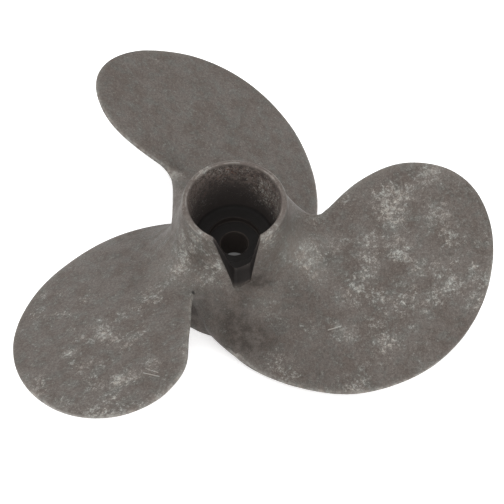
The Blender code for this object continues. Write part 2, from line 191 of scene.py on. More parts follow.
# Clouds of pale oxide: X, Y, Z and reach in millimetres, and strength.
CLOUDS = (
    (87, 16, 32, 6, 0.7), (90, 19, 34, 3.1, 0.6), (69, 8, 24, 7.5, 1), (71, 2, 22, 5.3, 0.9),
    (67, 13, 26, 3.5, 0.6), (91, 1, 26, 5.3, 0.8), (78, 11, 28, 5.3, 0.5), (94, -9, 23, 4.8, 0.7),
    (96, -13, 22, 2.6, 0.6), (73, -12, 17, 6.1, 0.9), (75, -17, 16, 3.1, 0.7), (61, -7, 17, 4.4, 0.8),
    (60, -16, 13, 4.4, 0.9), (47, -8, 13, 4.4, 0.8), (34, -9, 13, 6, 0.5), (31, -15, 11, 6.5, 0.5),
    (37, -19, 8, 5.5, 0.6), (50, 11, 21, 3.5, 0.5), (55, 4, 19, 3.1, 0.4), (53, -30, 6, 6.1, 0.8),
    (58, -23, 10, 5.3, 0.4), (63, -30, 8, 3.5, 0.5), (90, -23, 16, 3.9, 0.7), (93, -31, 14, 5.3, 0.7),
    (97, -29, 16, 3.5, 0.5), (97, -20, 19, 3.1, 0.6), (105, -25, 19, 3.5, 0.5), (73, -36, 8, 7.9, 0.6),
    (78, -32, 11, 3.5, 0.5), (87, -36, 11, 4.4, 0.5), (66, -53, 0, 5.7, 0.7), (68, -50, 2, 2.6, 0.6),
    (62, -44, 3, 4.4, 0.5), (51, -46, -1, 4.4, 0.6), (57, -59, -5, 5.3, 0.3), (53, -68, -10, 5.3, 0.7),
    (19, -56, -13, 7, 0.6), (15, -34, -2, 4.4, 0.6), (35, -41, -2, 4.4, 0.4), (45, -43, -1, 2.6, 0.5),
    (83, -54, 3, 4.4, 0.3), (106, -38, 13, 6.1, 0.5), (26, -60, -13, 4.4, 0.5), (80, -22, 15, 4.4, 0.5),
    (100, 13, 33, 5.3, 0.2), (13, -19, 35, 3.1, 0.7), (36, 3, 16, 3.5, 0.6), (18, 13, 35, 3.5, 0.5),
    (-22, -11, 24, 3.8, 0.9), (-19, -16, 23, 3.4, 0.8), (-22, -18, 14, 4.2, 0.9), (-27, -23, 12, 4.6, 0.5),
    (-8, -24, 22, 4.6, 0.8), (-13, -29, 16, 4.2, 0.5), (-17, -16, 31, 4, 0.7), (-5, -29, 10, 2.3, 0.6),
    (-36, -32, 10, 6.1, 0.6), (-34, -37, 13, 3.8, 0.6), (-42, -42, 13, 3.8, 0.5), (-49, -44, 12, 4.6, 0.3),
    (-66, -30, 3, 4.6, 0.4), (-68, -31, 3, 2.3, 0.5), (-55, -54, 14, 4.6, 1), (-57, -48, 11, 3.8, 0.6),
    (-50, -58, 17, 3.4, 0.7), (-44, -62, 20, 3.8, 0.6), (-39, -55, 18, 4.6, 0.6), (-68, -63, 14, 3.4, 0.8),
    (-61, -71, 19, 4.6, 0.7), (-69, -49, 9, 1.9, 0.7), (-64, -55, 12, 3.8, 0.5), (-52, -70, 21, 2.7, 0.5),
    (-32, -73, 27, 3.4, 0.7), (-44, -80, 26, 4.6, 1), (-40, -80, 28, 2.7, 0.8), (-53, -82, 25, 3.8, 0.6),
    (-79, -75, 16, 2.3, 0.8), (-58, -77, 22, 1.9, 0.6), (-87, -25, -5, 2.7, 0.6), (-88, -37, 0, 3.1, 0.6),
    (-79, -37, 2, 4.6, 0.4), (-73, -39, 4, 2.7, 0.5), (-47, -88, 29, 3.1, 0.5), (-20, -68, 28, 3.1, 0.5),
    (-79, -24, -3, 2.3, 0.3), (-23, -15, 19, 3.1, 0.5), (-23, -3, 33, 3.1, 0.5), (-42, 80, 21, 1.1, 0.8),
    (-21, 73, 12, 3.8, 0.3), (-14, 70, 9, 0.8, 0.6), (3, 59, 2, 0.9, 0.8), (12, 88, -4, 2.3, 0.4),
    (-41, 99, 20, 3.8, 0.3), (23, 71, -8, 3.8, 0.2), (-26, 30, 15, 3.1, 0.7), (-14, 54, 9, 3.1, 0.2),
    (-15, 16, 35, 5, 0.8), (-17, -5, 22, 7, 0.5), (-12, -14, 20, 6, 0.4), (-67, -92, 25, 6, 0.5),
    (-55, -97, 28, 7, 0.5), (-43, -97, 32, 7, 0.3), (-79, -81, 18, 6, 0.3), (-30, -93, 34, 6, 0.3),
    (-34, -78, 28, 3, 0.4), (107, -30, 18, 6, 0.4), (108, -14, 25, 6, 0.3), (-13, -20, 33, 5, 0.5),
    (-87, -72, 12, 4, 0.3), (-83, -79, 16, 4, 0.3), (-50, -96, 31, 5, 0.3), (-77, -84, 19, 4, 0.3),
    (17, -15, 33, 4, 0.8), (14, -20, 31, 3.5, 0.8),
    (-24, -11, 18, 4, 0.4), (-24, -18, 12, 5, 0.3), (-8, -24, 20, 4, 0.6), (-12, -27, 14, 4, 0.5),
)
# Clouds of oxide on the cup's wall alone.
CUP_CLOUDS = (
    (17, 9, 28, 8, 0.9), (18, 0, 24, 7, 0.9), (9, 17, 28, 8, 0.6), (18, -6, 29, 5, 0.7),
    (16, 8, 15, 8, 0.7), (-7, 18, 32, 5, 0.4), (12, 14, 20, 6, 0.6), (-18, 6, 27, 9, 0.5),
    (-16, 10, 12, 8, 0.5), (8, 17, 8, 4, 0.7), (-4, 20, 30, 9, 0.3),
)
# Rust bled onto the cup's wall.
RUST = ((-1, 20, 30, 3.5, 1), (-5, 19, 27, 3.5, 1), (-12, 15, 21, 3, 0.9), (14, 14, 26, 5, 0.4))
# Thin even bloom of oxide, and stains of brown grime mixed with painted shade, both given like the clouds.
BLOOMS = (
    (-25, -12, 16, 12, 0.3), (-30, -22, 5, 9, 0.25), (25, -12, 20, 10, 0.6), (34, -15, 12, 9, 0.5),
    (-16, -27, 10, 9, 0.25), (14, -32, 4, 8, 0.2), (-17, -17, 31, 8, 0.35), (17, -17, 30, 8, 0.3),
)
# Among the strongest stains, those on the hub's skirt under a blade's root and in the hollows where a blade
# meets the hub are painted shade; the faint broad ones darken the skin in patches.
STAINS_AND_SHADE = (
    (11, -26, 13, 3.5, 1.2), (14, -26, 10, 3.5, 0.8), (7, -26, 13, 4, 1), (-18, -31, -13, 6, 1.7),
    (-2, -38, -4, 9, 0.7), (10, -45, -8, 8, 0.5), (19, -46, -7, 8, 0.2), (29, -32, 0, 9, 0.4),
    (41, -14, 12, 5, 0.5), (-43, -26, 6, 9, 0.2), (-28, 33, 14, 7, 0.4), (40, -60, -9, 9, 0.2),
    (-45, 6, -7, 14, 0.2), (-56, -8, -3, 12, 0.12), (66, 16, 26, 12, 0.15), (-11, -31, 7, 8, 0.45),
    (3, -47, -11, 10, 0.5), (3, -31, 8, 6, 0.6), (8, -37, -5, 8, 0.3), (25, -56, -10, 16, 0.17),
)
# Scratches down to bright metal and dark pits: two ends in millimetres, and half of the width.
SCRATCHES = (
    ((-35.6, -78.0, 28.0), (-29.0, -80.9, 30.9), 0.25), ((-34.7, -75.9, 27.5), (-29.6, -78.8, 29.9), 0.2),
    ((41.5, -43.8, -1.6), (47.1, -42.7, 0.1), 0.3), ((-36.0, -79.5, 28.3), (-33.0, -80.5, 29.3), 0.15),
)
PITS = (((-17.9, -33.2, 13.5), (-17.7, -33.8, 13.5), 0.9),)
# The marks that are stored on the skin, by the name of their attribute.
SPOTS = {"clouds": CLOUDS, "cup_clouds": CUP_CLOUDS, "bloom": BLOOMS, "stains": STAINS_AND_SHADE, "rust": RUST}
# Patterns of the skin: size in millimetres, detail and roughness. A grain that is too fine
# for the render is drawn coarser.
PATTERNS = {
    "faded": (11, 5.0, 0.7),  # fading in patches some 11 mm across, seen on every blade
    "bluish": (6, 5.0, 0.75),  # finer bluish patches
    "grime_and_shade": (6, 4.0, 0.7),  # ragged borders of the stains and of the painted shade
    "grain": (1.0, 4.0, 1.0),  # grain left by the sand, about 0.3 mm, drawn 1 mm apart
    "drift": (6, 3.0, 0.7),  # thin oxide between the clouds
    "lumps": (3.2, 2.0, 0.5),  # clumps of oxide
    "speck": (1.5, 4.0, 1.0),  # specks of oxide, some 0.5 mm, drawn 1.5 mm apart
    "dust": (0.8, 3.0, 0.9),  # dust of oxide, finer than 0.3 mm, drawn 0.8 mm apart
    "rubbed": (2.2, 4.0, 0.7),  # edges rubbed bare in stretches of 2 to 4 mm
    "streaks": (3.5, 4.0, 1.0),  # the same on the rim
    "rings": (6, 3.0, 0.5),  # where the rings on the rim are still seen
    "warm": (4, 4.0, 0.8),  # whiter and browner oxide by turns
    "smears": (2.4, 4.0, 0.9),  # smears on the cup's wall
    "flecks": (2.0, 4.0, 0.8),  # flecks of rust
    "fresh": (1.3, 4.0, 1.0),  # fresh oxide in the cup, specks of 0.5 mm drawn 1.3 mm apart
}

# Studio, in metres and degrees: half of the floor's width, its gap to the casting, and
# the hub's shadow painted on it, from one distance to another and by how much.
FLOOR_HALF = 3.0
FLOOR_GAP = 0.4 * MM
FLOOR_ROUGHNESS = 0.9
FLOOR_GLOW = 0.5
HUB_SHADE = (30 * MM, 35 * MM, 0.18)
SKY_STRENGTH = 1.15
LIGHT_PLACE = (-0.15, 0.0, 1.0)
LIGHT_SIZE = 0.8
LIGHT_POWER = 3.0
CAMERA_PLACE = (0.0, -0.22468, 0.34473)
CAMERA_ANGLES = (32.645, -1.011, -0.549)
SENSOR_WIDTH = 36.0


class HubSizes(bpy.types.PropertyGroup):
    """Sizes of the hub."""

    length: FloatProperty(name="Length", description="Length of the hub", default=58.0 * MM, unit="LENGTH")
    cup_radius: FloatProperty(
        name="Cup radius", description="Radius of the cup at its mouth", default=20.3 * MM, unit="LENGTH"
    )
    shaft_radius: FloatProperty(
        name="Shaft hole", description="Radius of the shaft hole", default=6.5 * MM, unit="LENGTH"
    )
    rim_round: FloatProperty(
        name="Rim rounding", description="Rounding of the worn rim", default=1.1 * MM, unit="LENGTH"
    )


class BladeSizes(bpy.types.PropertyGroup):
    """Sizes of the blades."""

    tip_radius: FloatProperty(
        name="Tip radius", description="Radius of the blades' tips", default=115.0 * MM, unit="LENGTH"
    )
    root_thickness: FloatProperty(
        name="Root thickness", description="Plate thickness at the root", default=7.0 * MM, unit="LENGTH"
    )
    tip_thickness: FloatProperty(
        name="Tip thickness", description="Plate thickness at the tip", default=2.8 * MM, unit="LENGTH"
    )
    edge_thickness: FloatProperty(
        name="Edge thickness", description="Thickness of the rounded edge", default=2.2 * MM, unit="LENGTH"
    )
    unevenness: FloatProperty(
        name="Unevenness", description="How uneven the casting is", default=0.16 * MM, unit="LENGTH"
    )


class CastingColours(bpy.types.PropertyGroup):
    """Colours of the oxidised casting, as sRGB hex values."""

    skin: StringProperty(name="Skin", description="Dull oxidised skin", default="655E59")
    shade: StringProperty(name="Brown shade", description="Brownish patches", default="5F5650")
    steel: StringProperty(name="Grey shade", description="Cool grey patches", default="61615D")
    # Grime, and the painted shade in the hollows by the blades' roots, share this dark brown.
    grime_and_shade: StringProperty(name="Grime", description="Dark brown grime in hollows", default="3B332D")
    grain: StringProperty(name="Grain", description="Shading of the sandy grain", default="B8B5B1")
    oxide: StringProperty(name="Oxide", description="Pale speckles of oxide", default="B2B3AD")
    tan: StringProperty(name="Warm oxide", description="Warmer speckles of oxide", default="B4ADA4")
    rim: StringProperty(name="Rim", description="Handled rim of the cup", default="534A45")
    # Lip and cup, with the near-black of the floor, paint the cup darker with depth: grease and dirt, and
    # partly painted shade deep in the cup.
    lip: StringProperty(name="Cup lip", description="Lining of the cup near its mouth", default="6E645E")
    smear: StringProperty(name="Cup smears", description="Dark smears at the cup's mouth", default="463F3C")
    cup: StringProperty(name="Cup", description="Dark lining of the cup", default="403B39")
    # Old grease and painted shade on the cup's floor share this near-black.
    grease_and_shade: StringProperty(name="Grease", description="Old grease on the cup's floor", default="201E1D")
    rust: StringProperty(name="Rust", description="Reddish specks in the cup", default="6A4637")


class StudioSettings(bpy.types.PropertyGroup):
    """Floor and camera of the studio."""

    floor_colour: FloatVectorProperty(
        name="Floor", description="Colour of the floor", default=(0.93, 0.93, 0.93), subtype="COLOR"
    )
    lens: FloatProperty(name="Lens", description="Focal length in millimetres", default=62.96)


def linear(code):
    """Return the linear colour of an sRGB hex value."""
    parts = [int(code[i : i + 2], 16) / 255 for i in (0, 2, 4)]
    return (*[p / 12.92 if p <= 0.04045 else ((p + 0.055) / 1.055) ** 2.4 for p in parts], 1.0)


def natural_bends(knots, values):
    """Return the second derivatives of a natural cubic spline."""
    count = len(knots)
    system = np.eye(count)
    right = np.zeros(count)
    steps = np.diff(knots)
    for i in range(1, count - 1):
        system[i, i - 1 : i + 2] = steps[i - 1], 2 * (steps[i - 1] + steps[i]), steps[i]
        right[i] = 6 * ((values[i + 1] - values[i]) / steps[i] - (values[i] - values[i - 1]) / steps[i - 1])
    return np.linalg.solve(system, right)


def spline(knots, values, at):
    """Return a natural cubic spline, straight beyond its ends."""
    bends = natural_bends(knots, values)
    steps = np.diff(knots)
    inside = np.clip(at, knots[0], knots[-1])
    i = np.clip(np.searchsorted(knots, inside, side="right") - 1, 0, len(knots) - 2)
    left = inside - knots[i]
    rest = knots[i + 1] - inside
    found = (bends[i] * rest**3 + bends[i + 1] * left**3) / (6 * steps[i])
    found += (values[i] / steps[i] - bends[i] * steps[i] / 6) * rest
    found += (values[i + 1] / steps[i] - bends[i + 1] * steps[i] / 6) * left
    first = (values[1] - values[0]) / steps[0] - steps[0] * bends[1] / 6
    last = (values[-1] - values[-2]) / steps[-1] + steps[-1] * bends[-2] / 6
    return found + first * np.minimum(at - knots[0], 0) + last * np.maximum(at - knots[-1], 0)


def rounded(before, corner, after, radius, steps):
    """Return the points of the arc that rounds one corner of an outline."""
    corner = Vector(corner)
    first = (Vector(before) - corner).normalized()
    last = (Vector(after) - corner).normalized()
    half = 0.5 * first.angle(last)
    centre = corner + (first + last).normalized() * radius / math.sin(half)
    start = corner + first * radius / math.tan(half) - centre
    end = corner + last * radius / math.tan(half) - centre
    spokes = [start.lerp(end, step / steps).normalized() * radius for step in range(steps + 1)]
    return [tuple(centre + spoke) for spoke in spokes]


class BladePlan:
    """The shape of one blade, as points for places on its skin, in millimetres and radians."""

    def __init__(self, scene, blade):
        """Keep the sizes of the blade and of the hub it grows from."""
        sizes = scene.propeller_blades
        self.length = scene.propeller_hub.length / MM
        self.tip = sizes.tip_radius / MM
        self.root_thickness = sizes.root_thickness / MM
        self.tip_thickness = sizes.tip_thickness / MM
        self.edge = 0.5 * sizes.edge_thickness / MM
        self.turn, self.lift = BLADES[blade]
        self.fillets, self.webs = AFT_FILLETS[blade], AFT_WEBS[blade]
        self.forward_trim, self.aft_trim = np.array(FORWARD_TRIMS[blade]), np.array(AFT_TRIMS[blade])
        self.knots, self.halves, self.middles = np.array(STATIONS).T

    def hub_radius(self, height):
        """Return the radius of the hub's outer skin at a height."""
        radii, depths = np.array(HUB_FLANK).T
        return np.interp(self.length - height, depths, radii)

    def edges(self, radius):
        """Return the angles of the forward and aft edges at a radius."""
        at = np.clip(radius, DATUM_RADIUS, self.tip)
        half = spline(self.knots, self.halves, at)
        share = (at - TIP_START) / (self.tip - TIP_START)
        half = half * np.sqrt(np.maximum(1 - share**TIP_POWER, 0))
        middle = spline(self.knots, self.middles, at)
        places = np.array(TRIM_RADII)
        near = np.minimum(at, places[-1])
        first = spline(places, self.forward_trim, near)
        last = spline(places, self.aft_trim, near)
        return np.radians(middle + first) - half / at, np.radians(middle - last) + half / at

    def skin(self, radius, spot, grown):
        """Return points on the plate's skin, pushed outwards by a distance."""
        across, out_along, out_up = spot
        low, high = self.edges(radius)
        around = np.minimum(radius, self.tip)
        chord = 0.5 * (high - low) * around
        gap = np.clip(self.tip - radius, 0, self.edge)
        rounding = np.sqrt(self.edge**2 - (self.edge - gap) ** 2) / self.edge
        inset = np.minimum(self.edge * rounding, EDGE_SHARE * chord)
        share = np.clip((radius - DATUM_RADIUS) / (self.tip - DATUM_RADIUS), 0, 1)
        taper = (self.tip_thickness - self.root_thickness) * share**TAPER_POWER
        middle = 0.5 * (self.root_thickness + taper)
        thick = (self.edge + (middle - self.edge) * (1 - across**2) ** CROWN_POWER) * rounding
        along = across * (chord - inset) + out_along * (inset + grown)
        up = out_up * (thick + grown)
        slope = math.atan(SLOPE)
        at = 0.5 * (high + low) + along / around
        height = self.length - DATUM_DEPTH + self.lift
        height = height + RAKE * (radius - DATUM_RADIUS) + SLOPE * radius * (at - math.radians(DATUM_ANGLE))
        height = height + up * math.cos(slope)
        angle = at - up * math.sin(slope) / around + math.radians(self.turn)
        return np.stack([radius * np.cos(angle), radius * np.sin(angle), height], axis=-1)

    def root(self, spot, turned_by):
        """Return points of the fillet, and their radii: 90 degrees at the plate, 0 at the hub."""
        aft = np.interp(spot[0], (-1, 0, 1), self.fillets)
        forward = np.interp(spot[0], (-1, 0, 1), FORWARD_FILLETS)
        face = np.where(spot[2] > 0, aft, forward)
        webs = [np.where(spot[0] > 0, web, FORWARD_WEB) for web in self.webs]
        along, outwards = [web * spot[1] ** 2 + face * spot[2] ** 2 for web in webs]
        gap = outwards * (1 - math.cos(turned_by)) - ROOT_SINK * math.cos(turned_by)
        grown = along * (1 - math.sin(turned_by))
        radius = np.full_like(gap, DATUM_RADIUS)
        for _ in range(ROOT_ROUNDS):
            height = self.skin(radius, spot, grown)[:, 2]
            radius = 0.5 * (radius + self.hub_radius(height) + gap)
        return self.skin(radius, spot, grown), radius

    def section(self):
        """Return the places round one section: share across, and the outward direction."""
        arc = np.linspace(-0.5 * math.pi, 0.5 * math.pi, EDGE_STEPS + 1)
        share = np.sin(math.pi * (np.arange(1, FACE_STEPS) / FACE_STEPS - 0.5))
        share = 0.5 * (share + np.linspace(-1, 1, FACE_STEPS + 1)[1:-1])
        flat = np.zeros_like(share)
        forward_edge = np.stack([arc * 0 - 1, -np.cos(arc), -np.sin(arc)])
        forward_face = np.stack([share, flat, flat - 1])
        aft_edge = np.stack([arc * 0 + 1, np.cos(arc), np.sin(arc)])
        aft_face = np.stack([-share, flat, flat + 1])
        loop = np.concatenate([forward_edge, forward_face, aft_edge, aft_face], axis=1)
        return np.concatenate([loop, loop[:, :1]], axis=1)

    def rows(self):
        """Return the rows of points from inside the hub, over the fillet, to the tip."""
        spot = self.section()
        buried, radius = self.root(spot, 0.0)
        buried[:, :2] *= ((radius - ROOT_BURIED) / radius)[:, None]
        rows = [buried]
        rows += [self.root(spot, 0.5 * math.pi * i / ROOT_ROWS)[0] for i in range(ROOT_ROWS + 1)]
        start = self.root(spot, 0.5 * math.pi)[1]
        for i in range(1, SPAN_ROWS + 1):
            share = math.sin(0.5 * math.pi * i / SPAN_ROWS)
            rows.append(self.skin(start + (self.tip - start) * share, spot, 0.0))
        return np.array(rows) * MM


def blade_shape(plan):
    """Return a closed blade: a grid wrapped round the sections, its root end filled."""
    rows = plan.rows()
    down, around = rows.shape[0] - 1, rows.shape[1] - 1
    shape = bmesh.new()
    bmesh.ops.create_grid(shape, x_segments=around, y_segments=down, size=1.0)
    for vert in shape.verts:
        i = round((vert.co.x + 1) / 2 * around)
        j = round((vert.co.y + 1) / 2 * down)
        vert.co = rows[j, i]
    bmesh.ops.remove_doubles(shape, verts=shape.verts, dist=BLADE_WELD)
    bmesh.ops.holes_fill(shape, edges=[edge for edge in shape.edges if edge.is_boundary])
    bmesh.ops.recalc_face_normals(shape, faces=shape.faces)
    return shape


def turned_shape(profile, around):
    """Return a closed solid spun from a profile of (radius, height) in millimetres."""
    shape = bmesh.new()
    last = None
    for radius, height in profile:
        vert = shape.verts.new((radius * MM, 0.0, height * MM))
        if last:
            shape.edges.new((last, vert))
        last = vert
    bmesh.ops.spin(
        shape,
        geom=shape.verts[:] + shape.edges[:],
        cent=(0, 0, 0),
        axis=(0, 0, 1),
        angle=math.tau,
        steps=around,
        use_merge=True,
    )
    bmesh.ops.remove_doubles(shape, verts=shape.verts, dist=TURNED_WELD)
    bmesh.ops.recalc_face_normals(shape, faces=shape.faces)
    return shape


def arc_points(centre, radius, first, last):
    """Return points of an arc in the profile plane, angles in degrees."""
    found = []
    for i in range(ARC_STEPS + 1):
        angle = math.radians(first + (last - first) * i / ARC_STEPS)
        found.append((centre[0] + radius * math.cos(angle), centre[1] + radius * math.sin(angle)))
    return found


def hub_profile(scene):
    """Return the hub's outer profile, from the top of the axis to the bottom."""
    length = scene.propeller_hub.length / MM
    rim = scene.propeller_hub.rim_round / MM
    radii, depths = np.array(HUB_FLANK).T
    profile = [(0.0, length)]
    profile += arc_points((radii[0] - rim, length - rim), rim, 90, 0)
    for depth in np.arange(FLANK_START, depths[-1], FLANK_STEP):
        profile.append((float(np.interp(depth, depths, radii)), length - float(depth)))
    profile += arc_points((radii[-1] - FORWARD_ROUND, FORWARD_ROUND), FORWARD_ROUND, 0, -90)
    profile.append((0.0, 0.0))
    return profile


def cup_profile(scene):
    """Return the profile of the space in the hub: cup, counterbore, hole and recess."""
    sizes = scene.propeller_hub
    length = sizes.length / MM
    mouth = sizes.cup_radius / MM
    shaft = sizes.shaft_radius / MM
    lip, corner = CUP_LIP_ROUND, CUP_FOOT_ROUND
    floor = length - CUP_DEPTH
    profile = [(0.0, length + CLEAR), (mouth + lip + FUNNEL[1], length + CLEAR)]
    profile.append((mouth + lip + FUNNEL[0], length + FUNNEL[0]))
    profile += arc_points((mouth + lip, length - lip), lip, 90, 180)
    for i in range(1, CUP_WALL_STEPS):
        share = i / CUP_WALL_STEPS
        height = length - lip - share * (CUP_DEPTH - lip - corner)
        profile.append((mouth + (CUP_FLOOR_RADIUS - mouth) * share, height))
    profile += arc_points((CUP_FLOOR_RADIUS - corner, floor + corner), corner, 0, -90)
    step = floor - COUNTERBORE_DEPTH
    profile += [(COUNTERBORE_RADIUS + BEVEL, floor), (COUNTERBORE_RADIUS, floor - BEVEL)]
    profile += [(COUNTERBORE_RADIUS, step + COUNTERBORE_COVE), (COUNTERBORE_RADIUS - COUNTERBORE_COVE, step)]
    profile += [(shaft + BEVEL, step), (shaft, step - BEVEL)]
    profile += [(shaft, RECESS_DEPTH + SHAFT_BEVEL), (shaft + SHAFT_BEVEL, RECESS_DEPTH)]
    profile += [(RECESS_RADIUS, RECESS_DEPTH), (RECESS_RADIUS, BEVEL)]
    profile += [(RECESS_RADIUS + BEVEL, 0.0), (RECESS_RADIUS + BEVEL, -CLEAR), (0.0, -CLEAR)]
    return profile


def slot_shape(scene):
    """Return the wedge that is cut out of the cup's wall, with rounded lips and feet."""
    length = scene.propeller_hub.length / MM
    feet = [(SLOT_FOOT[i], length - SLOT_DEPTH[i]) for i in (0, 1)]
    tops = [(SLOT_TOP[i], length) for i in (0, 1)]
    low, high = length + SLOT_ABOVE[0], length + SLOT_ABOVE[1]
    aside = [(SLOT_TOP[0] - SLOT_ASIDE, low), (SLOT_TOP[1] + SLOT_ASIDE, low)]
    outline = rounded(tops[0], feet[0], feet[1], SLOT_FOOT_ROUND[0], steps=4)
    outline += rounded(feet[0], feet[1], tops[1], SLOT_FOOT_ROUND[1], steps=8)
    outline += rounded(feet[1], tops[1], aside[1], SLOT_LIP_ROUND[1], steps=6)
    outline += [aside[1], (aside[1][0], high), (aside[0][0], high), aside[0]]
    outline += rounded(aside[0], tops[0], feet[0], SLOT_LIP_ROUND[0], steps=12)
    shape = bmesh.new()
    verts = [shape.verts.new((x * MM, SLOT_ENDS[0] * MM, z * MM)) for x, z in outline]
    edges = [shape.edges.new((verts[i - 1], verts[i])) for i in range(len(verts))]
    face = bmesh.ops.contextual_create(shape, geom=edges)["faces"]
    moved = bmesh.ops.extrude_face_region(shape, geom=face, use_keep_orig=True)["geom"]
    moved = [item for item in moved if isinstance(item, bmesh.types.BMVert)]
    bmesh.ops.translate(shape, vec=(0, (SLOT_ENDS[1] - SLOT_ENDS[0]) * MM, 0), verts=moved)
    bmesh.ops.recalc_face_normals(shape, faces=shape.faces)
    return shape


def as_object(name, shape, scene):
    """Return a new object that holds a bmesh, lowered to the frame's origin, and free the bmesh."""
    bmesh.ops.translate(shape, vec=(0, 0, CAD_BOX[0][2]), verts=shape.verts)
    mesh = bpy.data.meshes.new(name)
    shape.to_mesh(mesh)
    shape.free()
    thing = bpy.data.objects.new(name, mesh)
    scene.collection.objects.link(thing)
    return thing


def combined(thing, others, operation):
    """Apply one exact Boolean with several other objects, and remove them."""
    group = bpy.data.collections.new("boolean_tools")
    bpy.context.scene.collection.children.link(group)
    for other in others:
        group.objects.link(other)
        bpy.context.scene.collection.objects.unlink(other)
    step = thing.modifiers.new("join", "BOOLEAN")
    step.operation = operation
    step.solver = "EXACT"
    step.operand_type = "COLLECTION"
    step.collection = group
    bpy.context.view_layer.update()
    graph = bpy.context.evaluated_depsgraph_get()
    mesh = bpy.data.meshes.new_from_object(thing.evaluated_get(graph))
    thing.modifiers.clear()
    thing.data = mesh
    for other in others:
        bpy.data.objects.remove(other, do_unlink=True)
    bpy.data.collections.remove(group)


def put_in_order(shape):
    """Sort a bmesh by place, because a Boolean gives the same shape in a new order each run."""
    keys = (
        (shape.verts, lambda vert: vert.co[:]),
        (shape.edges, lambda edge: sorted(vert.index for vert in edge.verts)),
        (shape.faces, lambda face: sorted(vert.index for vert in face.verts)),
    )
    for items, key in keys:
        items.index_update()
        rank = {item.index: place for place, item in enumerate(sorted(items, key=key))}
        items.sort(key=lambda item: rank[item.index])
        items.index_update()


def weathered(thing, unevenness):
    """Clean the joined mesh and make it slightly uneven, as sand castings are, with its knocks."""
    shape = bmesh.new()
    shape.from_mesh(thing.data)
    put_in_order(shape)
    bmesh.ops.remove_doubles(shape, verts=shape.verts, dist=JOINED_WELD)
    bmesh.ops.dissolve_degenerate(shape, edges=shape.edges, dist=SLIVER)
    wires = [edge for edge in shape.edges if not edge.link_faces]
    bmesh.ops.delete(shape, geom=wires, context="EDGES")
    stray = [vert for vert in shape.verts if not vert.link_faces]
    bmesh.ops.delete(shape, geom=stray, context="VERTS")
    shape.normal_update()
    moves = []
    for vert in shape.verts:
        swell = noise.noise(vert.co / (SWELLS[0] * MM))
        ripple = noise.noise(vert.co / (RIPPLES[0] * MM) + RIPPLE_SHIFT)
        moves.append(vert.normal * unevenness * (SWELLS[1] * swell + RIPPLES[1] * ripple))
    mouth = Vector((0.0, 0.0, CAD_BOX[1][2]))
    for vert, move in zip(shape.verts, moves):
        vert.co += move
        for centre, reach, push in KNOCKS:
            gap = (vert.co - mouth - Vector(centre) * MM).length / (reach * MM)
            if gap < 1.0:
                vert.co += Vector(push) * MM * (1.0 - gap * gap) ** 2
    shape.to_mesh(thing.data)
    shape.free()


def surface_marks(thing, scene):
    """Store on the skin how close a blade's edge is, and where oxide, stains with painted shade, and rust
    lie.
    """
    mesh = thing.data
    points = np.empty(len(mesh.vertices) * 3)
    mesh.vertices.foreach_get("co", points)
    points = points.reshape(-1, 3) / MM
    radius = np.maximum(np.hypot(points[:, 0], points[:, 1]), 1.0)
    bearing = np.arctan2(points[:, 1], points[:, 0])
    depth = CAD_BOX[1][2] / MM - points[:, 2]
    gap = np.full(len(points), NO_EDGE)
    for blade in range(len(BLADES)):
        plan = BladePlan(scene, blade)
        low, high = plan.edges(radius)
        middle = 0.5 * (low + high)
        angle = bearing - math.radians(plan.turn)
        angle = middle + (angle - middle + math.pi) % math.tau - math.pi
        rise = RAKE * (radius - DATUM_RADIUS) + SLOPE * radius * (angle - math.radians(DATUM_ANGLE))
        out = radius - plan.hub_radius(plan.length - depth)
        near = np.abs(DATUM_DEPTH - plan.lift - rise - depth) < PLATE_REACH
        near &= out > HUB_CLEAR
        found = np.minimum(np.minimum(angle - low, high - angle) * radius, plan.tip - radius)
        found = np.maximum(found, 0.0) + np.maximum(ROOT_FADE[0] - out, 0.0) * ROOT_FADE[1]
        gap = np.where(near, np.minimum(gap, found), gap)
    marks = {"edge_gap": gap}
    for name, table in SPOTS.items():
        total = np.zeros(len(points))
        for x, y, z, reach, strength in table:
            square = ((points - (x, y, z)) ** 2).sum(axis=1)
            total += strength * np.exp(-square / reach**2)
        marks[name] = total
    for name, values in marks.items():
        layer = mesh.attributes.new(name, "FLOAT", "POINT")
        layer.data.foreach_set("value", values.astype(np.float32))


def add_node(tree, kind, sockets, output=0, **settings):
    """Add a node with its settings, link or set its sockets and return one output."""
    node = tree.nodes.new("ShaderNode" + kind)
    for name, value in settings.items():
        setattr(node, name, value)
    for key, value in sockets.items() if isinstance(sockets, dict) else enumerate(sockets):
        if isinstance(value, bpy.types.NodeSocket):
            tree.links.new(value, node.inputs[key])
        else:
            node.inputs[key].default_value = value
    return node.outputs[output]


def near_lines(add, place, lines):
    """Return 1 on some short straight lines and 0 a width away from them."""
    found = 0.0
    for start, end, width in lines:
        start, end = Vector(start) * MM, Vector(end) * MM
        way = end - start
        offset = add("VectorMath", [place, start], operation="SUBTRACT")
        share = add("VectorMath", [offset, way / way.length_squared], 1, operation="DOT_PRODUCT")
        share = add("Math", [add("Math", [share, 0.0], operation="MAXIMUM"), 1.0], operation="MINIMUM")
        foot = add("VectorMath", {0: way, 3: share}, operation="SCALE")
        gap = add("VectorMath", [offset, foot], 1, operation="DISTANCE")
        part = add("MapRange", [gap, 0.4 * width * MM, width * MM, 1.0, 0.0], **EASE)
        found = add("Math", [found, part], operation="MAXIMUM")
    return found


